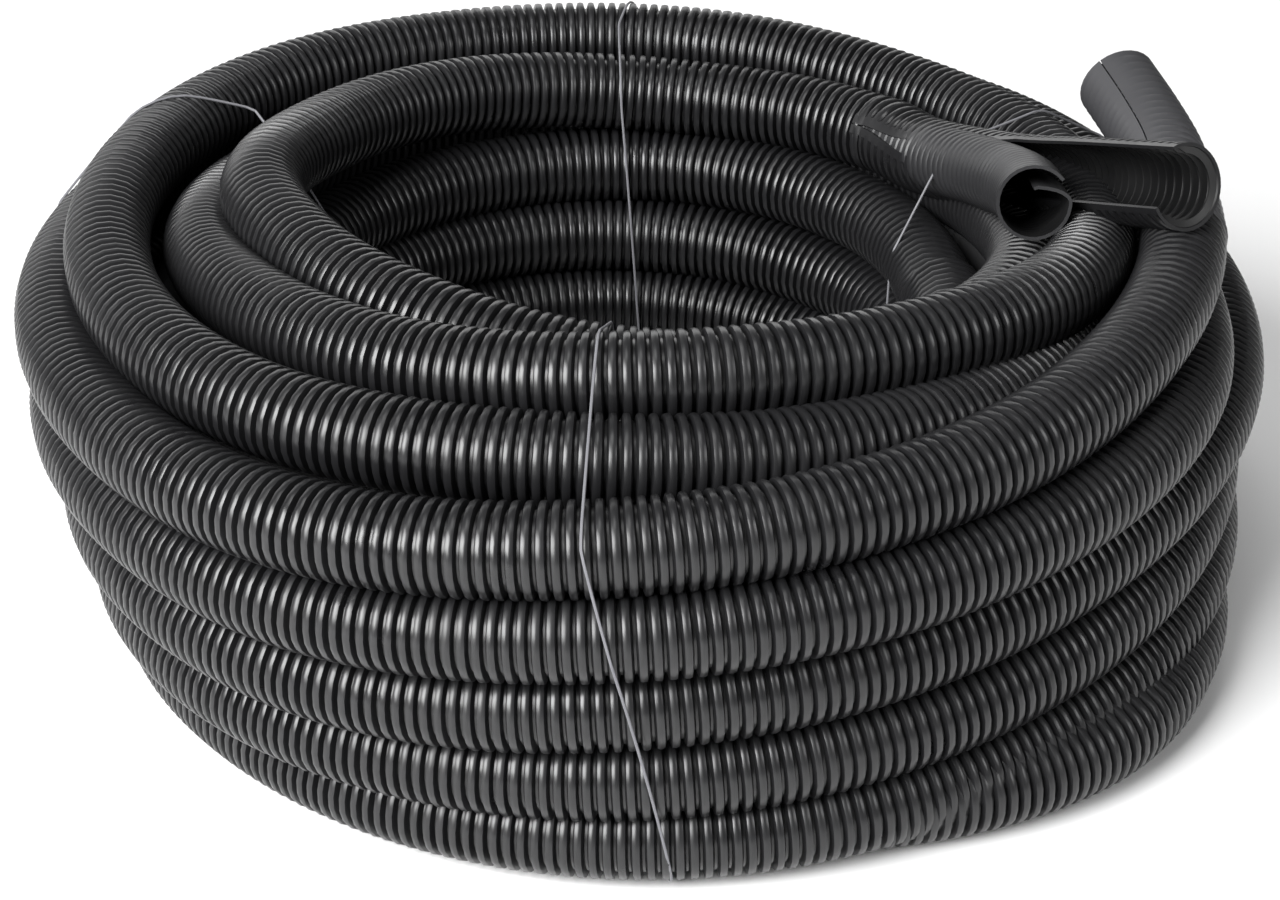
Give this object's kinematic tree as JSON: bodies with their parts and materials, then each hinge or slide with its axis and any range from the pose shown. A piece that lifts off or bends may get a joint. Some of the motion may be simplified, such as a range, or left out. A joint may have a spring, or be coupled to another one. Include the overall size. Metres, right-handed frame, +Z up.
{
  "type": "corrugated conduit coil",
  "caption": "Coil of black two-part corrugated conduit, tied with string, with one end sprung open and the other closed.",
  "frame": {"origin": "on the floor, at the coil's axis", "axes": "+Z up along the coil's axis, +X to the right of the picture's view, towards the loose ends"},
  "size_m": [0.4255, 0.4266, 0.1755],
  "materials": {
    "conduit_plastic": "moulded, slightly shiny black",
    "string": "thin light grey plastic string"
  },
  "bodies": {
    "root": {"outer_shell": "conduit_plastic", "inner_shell": "conduit_plastic", "tie_front": "string", "tie_back": "string", "tie_left": "string", "tie_right": "string"}
  },
  "joints": []
}
